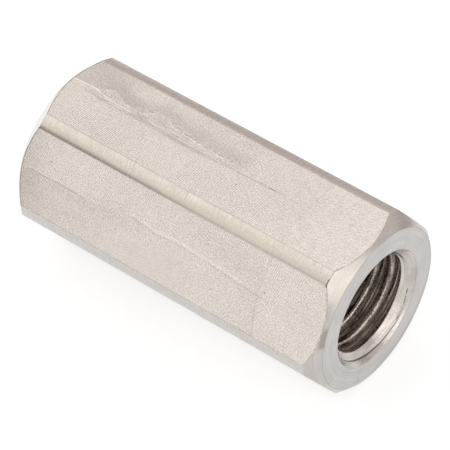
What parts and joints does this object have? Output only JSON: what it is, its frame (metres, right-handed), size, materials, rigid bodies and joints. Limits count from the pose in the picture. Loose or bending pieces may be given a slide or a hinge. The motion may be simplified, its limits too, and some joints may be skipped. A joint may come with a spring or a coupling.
{
  "type": "coupling nut",
  "caption": "Long hexagonal coupling nut, milled from round bar and tapped right through, with chamfered ends and countersunk mouths.",
  "frame": {"origin": "on the bore's axis, half way between the two end faces", "axes": "+X along the bore to one end face, +Z out of the middle of a flat, +Y across the flats' side to a corner strip"},
  "size_m": [0.05, 0.0264, 0.0238],
  "materials": {
    "steel": "bare machined stainless steel, satin"
  },
  "bodies": {
    "root": {"nut_body": "steel"}
  },
  "joints": []
}
